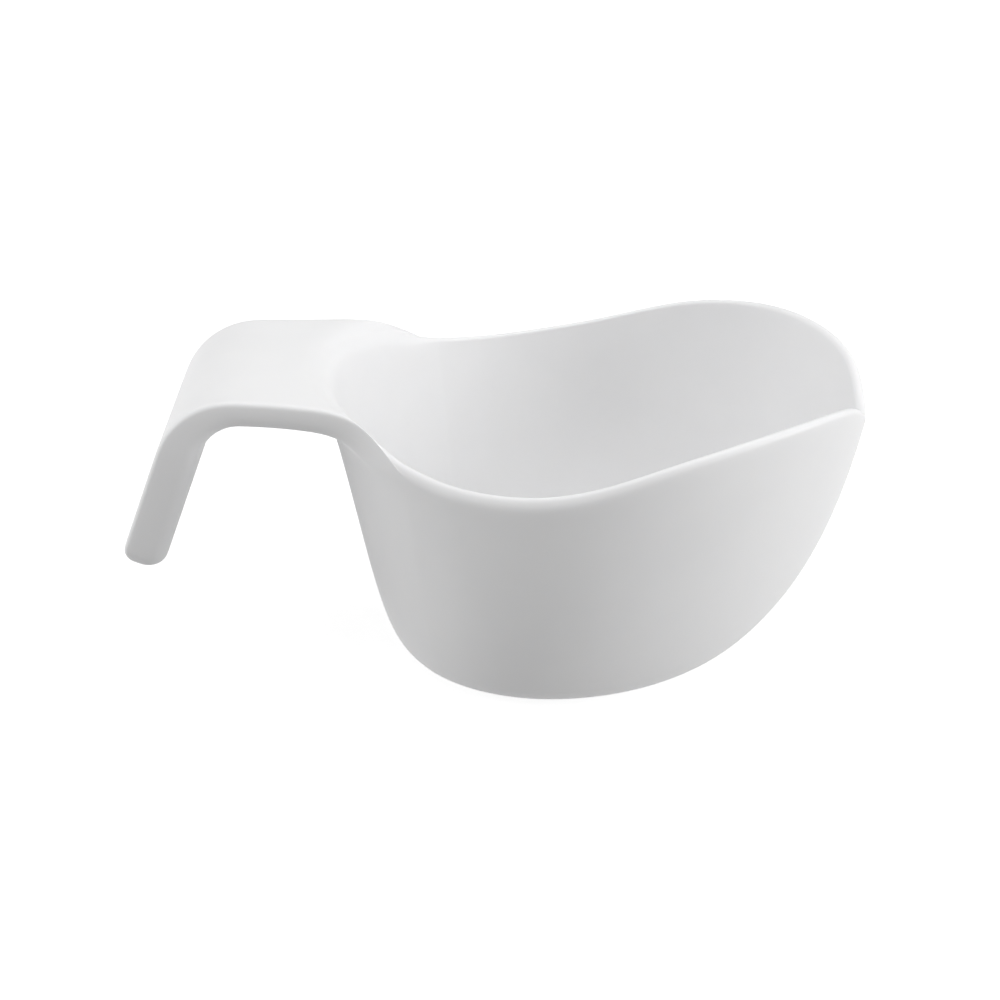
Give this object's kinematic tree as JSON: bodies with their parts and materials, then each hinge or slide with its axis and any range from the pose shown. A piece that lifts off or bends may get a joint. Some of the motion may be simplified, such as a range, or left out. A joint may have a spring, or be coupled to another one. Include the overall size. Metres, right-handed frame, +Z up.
{
  "type": "hair color bowl",
  "caption": "White hair colour mixing bowl with a wavy rim, a soft pouring lip and a wide strap handle that bends down to hook over the fingers.",
  "frame": {"origin": "centre of the round face that the bowl rests on, at the underside of the grip ring", "axes": "+Z up out of the bowl, +X towards the pouring lip, -X towards the handle, and Y across the bowl, which is the same on both sides"},
  "size_m": [0.1956, 0.1226, 0.082],
  "materials": {
    "moulding": "fine satin moulded surface",
    "cover": "fine satin moulded surface",
    "grip": "matt soft rubber"
  },
  "bodies": {
    "root": {"bowl_body": "moulding", "handle_under_cover": "cover", "base_grip_ring": "grip"}
  },
  "joints": []
}
